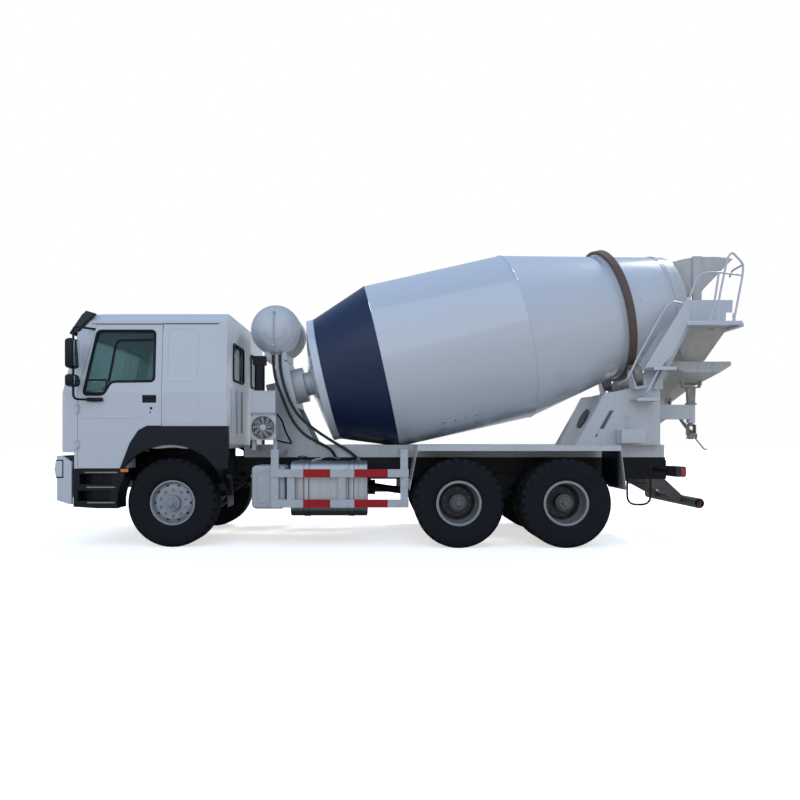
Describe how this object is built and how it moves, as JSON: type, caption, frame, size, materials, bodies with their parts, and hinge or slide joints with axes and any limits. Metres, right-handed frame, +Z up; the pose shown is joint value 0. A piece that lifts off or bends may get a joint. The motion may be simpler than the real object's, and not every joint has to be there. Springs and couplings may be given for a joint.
{
  "type": "concrete mixer truck",
  "caption": "Concrete mixer truck with a tilting cab, a sloping mixing drum on a roller pedestal, hoppers, and a swinging discharge chute raised by a screw jack.",
  "frame": {"origin": "on the ground, under the middle of the whole truck", "axes": "+X along the truck, from the cab to the discharge end; +Y to the right-hand side as the driver sits; +Z up"},
  "size_m": [9.02, 3.04, 4.0622],
  "materials": {
    "tyre": "matte",
    "rim_paint": "satin",
    "chassis_paint": "satin",
    "white_paint": "gloss",
    "tank_metal": "satin",
    "black_plastic": "matte",
    "lamp_plastic": "gloss",
    "grey_plastic": "matte",
    "grey_paint": "satin",
    "bare_steel": "satin",
    "window_glass": "clear",
    "smoked_plastic": "gloss",
    "seat_fabric": "woven",
    "hose_rubber": "satin"
  },
  "bodies": {
    "chassis": {"frame": "chassis_paint", "subframe": "white_paint", "front_axle": "chassis_paint", "rear_bogie": "chassis_paint", "powertrain": "chassis_paint", "drum_gearbox": "white_paint", "water_tank": "tank_metal", "rear_deck": "white_paint", "mudguards": "black_plastic", "bumper": "white_paint", "lamps": "lamp_plastic", "cab_steps": "black_plastic", "battery_box": "grey_plastic", "silencer": "chassis_paint", "fuel_tank": "tank_metal", "air_tanks": "chassis_paint", "side_guards": "grey_paint", "underrun_bar": "grey_paint", "rear_pedestal": "white_paint", "platform": "white_paint", "charging_hopper": "white_paint", "discharge_hopper": "white_paint", "oil_cooler": "white_paint", "air_intake": "black_plastic", "water_hose": "hose_rubber", "drain_hose": "hose_rubber"},
    "cab": {"cab_shell": "white_paint", "cab_glass": "window_glass", "seats": "seat_fabric", "dashboard": "grey_plastic", "wheel_flares": "black_plastic", "sun_visor": "smoked_plastic"},
    "door_left": {"door_left": "white_paint", "door_glass_left": "window_glass", "mirror_left": "black_plastic"},
    "door_right": {"door_right": "white_paint", "door_glass_right": "window_glass", "mirror_right": "black_plastic"},
    "front_lid": {"front_lid": "white_paint"},
    "knuckle_left": {"knuckle_left": "chassis_paint"},
    "knuckle_right": {"knuckle_right": "chassis_paint"},
    "front_wheel_left": {"front_tyre_left": "tyre", "front_rim_left": "rim_paint"},
    "front_wheel_right": {"front_tyre_right": "tyre", "front_rim_right": "rim_paint"},
    "mid_wheels_left": {"mid_tyres_left": "tyre", "mid_rims_left": "rim_paint"},
    "mid_wheels_right": {"mid_tyres_right": "tyre", "mid_rims_right": "rim_paint"},
    "rear_wheels_left": {"rear_tyres_left": "tyre", "rear_rims_left": "rim_paint"},
    "rear_wheels_right": {"rear_tyres_right": "tyre", "rear_rims_right": "rim_paint"},
    "drum": {"drum": "white_paint"},
    "roller_left": {"roller_left": "bare_steel"},
    "roller_right": {"roller_right": "bare_steel"},
    "chute_swivel": {"chute_swivel": "bare_steel"},
    "chute": {"chute": "white_paint"},
    "jack_tube": {"jack_tube": "bare_steel"},
    "jack_rod": {"jack_rod": "bare_steel"}
  },
  "joints": [
    {"name": "cab_tilt", "type": "hinge", "parent": "chassis", "child": "cab", "pos_m": [-4.41, 0, 1], "axis": [0, -1, 0], "range_deg": [0, 50]},
    {"name": "door_left_hinge", "type": "hinge", "parent": "cab", "child": "door_left", "pos_m": [-4.184, -1.256, 1.5], "axis": [0, 0, -1], "range_deg": [0, 70]},
    {"name": "door_right_hinge", "type": "hinge", "parent": "cab", "child": "door_right", "pos_m": [-4.184, 1.256, 1.5], "axis": [0, 0, 1], "range_deg": [0, 70]},
    {"name": "lid_hinge", "type": "hinge", "parent": "cab", "child": "front_lid", "pos_m": [-4.49, 0, 1.953], "axis": [0, 1, 0], "range_deg": [0, 60]},
    {"name": "steer_left", "type": "hinge", "parent": "chassis", "child": "knuckle_left", "pos_m": [-3.03, -0.87, 0.56], "axis": [0, 0, 1], "range_deg": [-35, 35]},
    {"name": "steer_right", "type": "hinge", "parent": "chassis", "child": "knuckle_right", "pos_m": [-3.03, 0.87, 0.56], "axis": [0, 0, 1], "range_deg": [-35, 35]},
    {"name": "front_spin_left", "type": "hinge", "parent": "knuckle_left", "child": "front_wheel_left", "pos_m": [-3.03, -1.011, 0.56], "axis": [0, 1, 0], "continuous": true},
    {"name": "front_spin_right", "type": "hinge", "parent": "knuckle_right", "child": "front_wheel_right", "pos_m": [-3.03, 1.011, 0.56], "axis": [0, 1, 0], "continuous": true},
    {"name": "mid_spin_left", "type": "hinge", "parent": "chassis", "child": "mid_wheels_left", "pos_m": [0.595, -0.915, 0.56], "axis": [0, 1, 0], "continuous": true},
    {"name": "mid_spin_right", "type": "hinge", "parent": "chassis", "child": "mid_wheels_right", "pos_m": [0.595, 0.915, 0.56], "axis": [0, 1, 0], "continuous": true},
    {"name": "rear_spin_left", "type": "hinge", "parent": "chassis", "child": "rear_wheels_left", "pos_m": [1.945, -0.915, 0.56], "axis": [0, 1, 0], "continuous": true},
    {"name": "rear_spin_right", "type": "hinge", "parent": "chassis", "child": "rear_wheels_right", "pos_m": [1.945, 0.915, 0.56], "axis": [0, 1, 0], "continuous": true},
    {"name": "drum_spin", "type": "hinge", "parent": "chassis", "child": "drum", "pos_m": [-0.382, 0, 2.404], "axis": [0.9755, 0, 0.2199], "continuous": true},
    {"name": "roller_spin_left", "type": "hinge", "parent": "chassis", "child": "roller_left", "pos_m": [3.0506, -0.59, 2.2463], "axis": [0.9755, 0, 0.2199], "continuous": true},
    {"name": "roller_spin_right", "type": "hinge", "parent": "chassis", "child": "roller_right", "pos_m": [3.0506, 0.59, 2.2463], "axis": [0.9755, 0, 0.2199], "continuous": true},
    {"name": "chute_swing", "type": "hinge", "parent": "chassis", "child": "chute_swivel", "pos_m": [4.09, 0, 1.7], "axis": [0, 0, 1], "range_deg": [-180, 0]},
    {"name": "chute_tilt", "type": "hinge", "parent": "chute_swivel", "child": "chute", "pos_m": [4.09, 0, 2.17], "axis": [-1, 0, 0], "range_deg": [-12, 12]},
    {"name": "jack_pivot", "type": "hinge", "parent": "chute_swivel", "child": "jack_tube", "pos_m": [4.09, -0.06, 1.43], "axis": [-1, 0, 0], "range_deg": [-6.5, 6.5]},
    {"name": "jack_slide", "type": "slide", "parent": "jack_tube", "child": "jack_rod", "axis": [0, 0.8361, 0.5486], "range_m": [-0.125, 0.125]}
  ],
  "couplings": [
    {"joint": "steer_right", "follows": "steer_left", "ratio": 1},
    {"joint": "jack_pivot", "follows": "chute_tilt", "ratio": 0.515},
    {"joint": "jack_slide", "follows": "chute_tilt", "m_per_rad": -0.585}
  ]
}
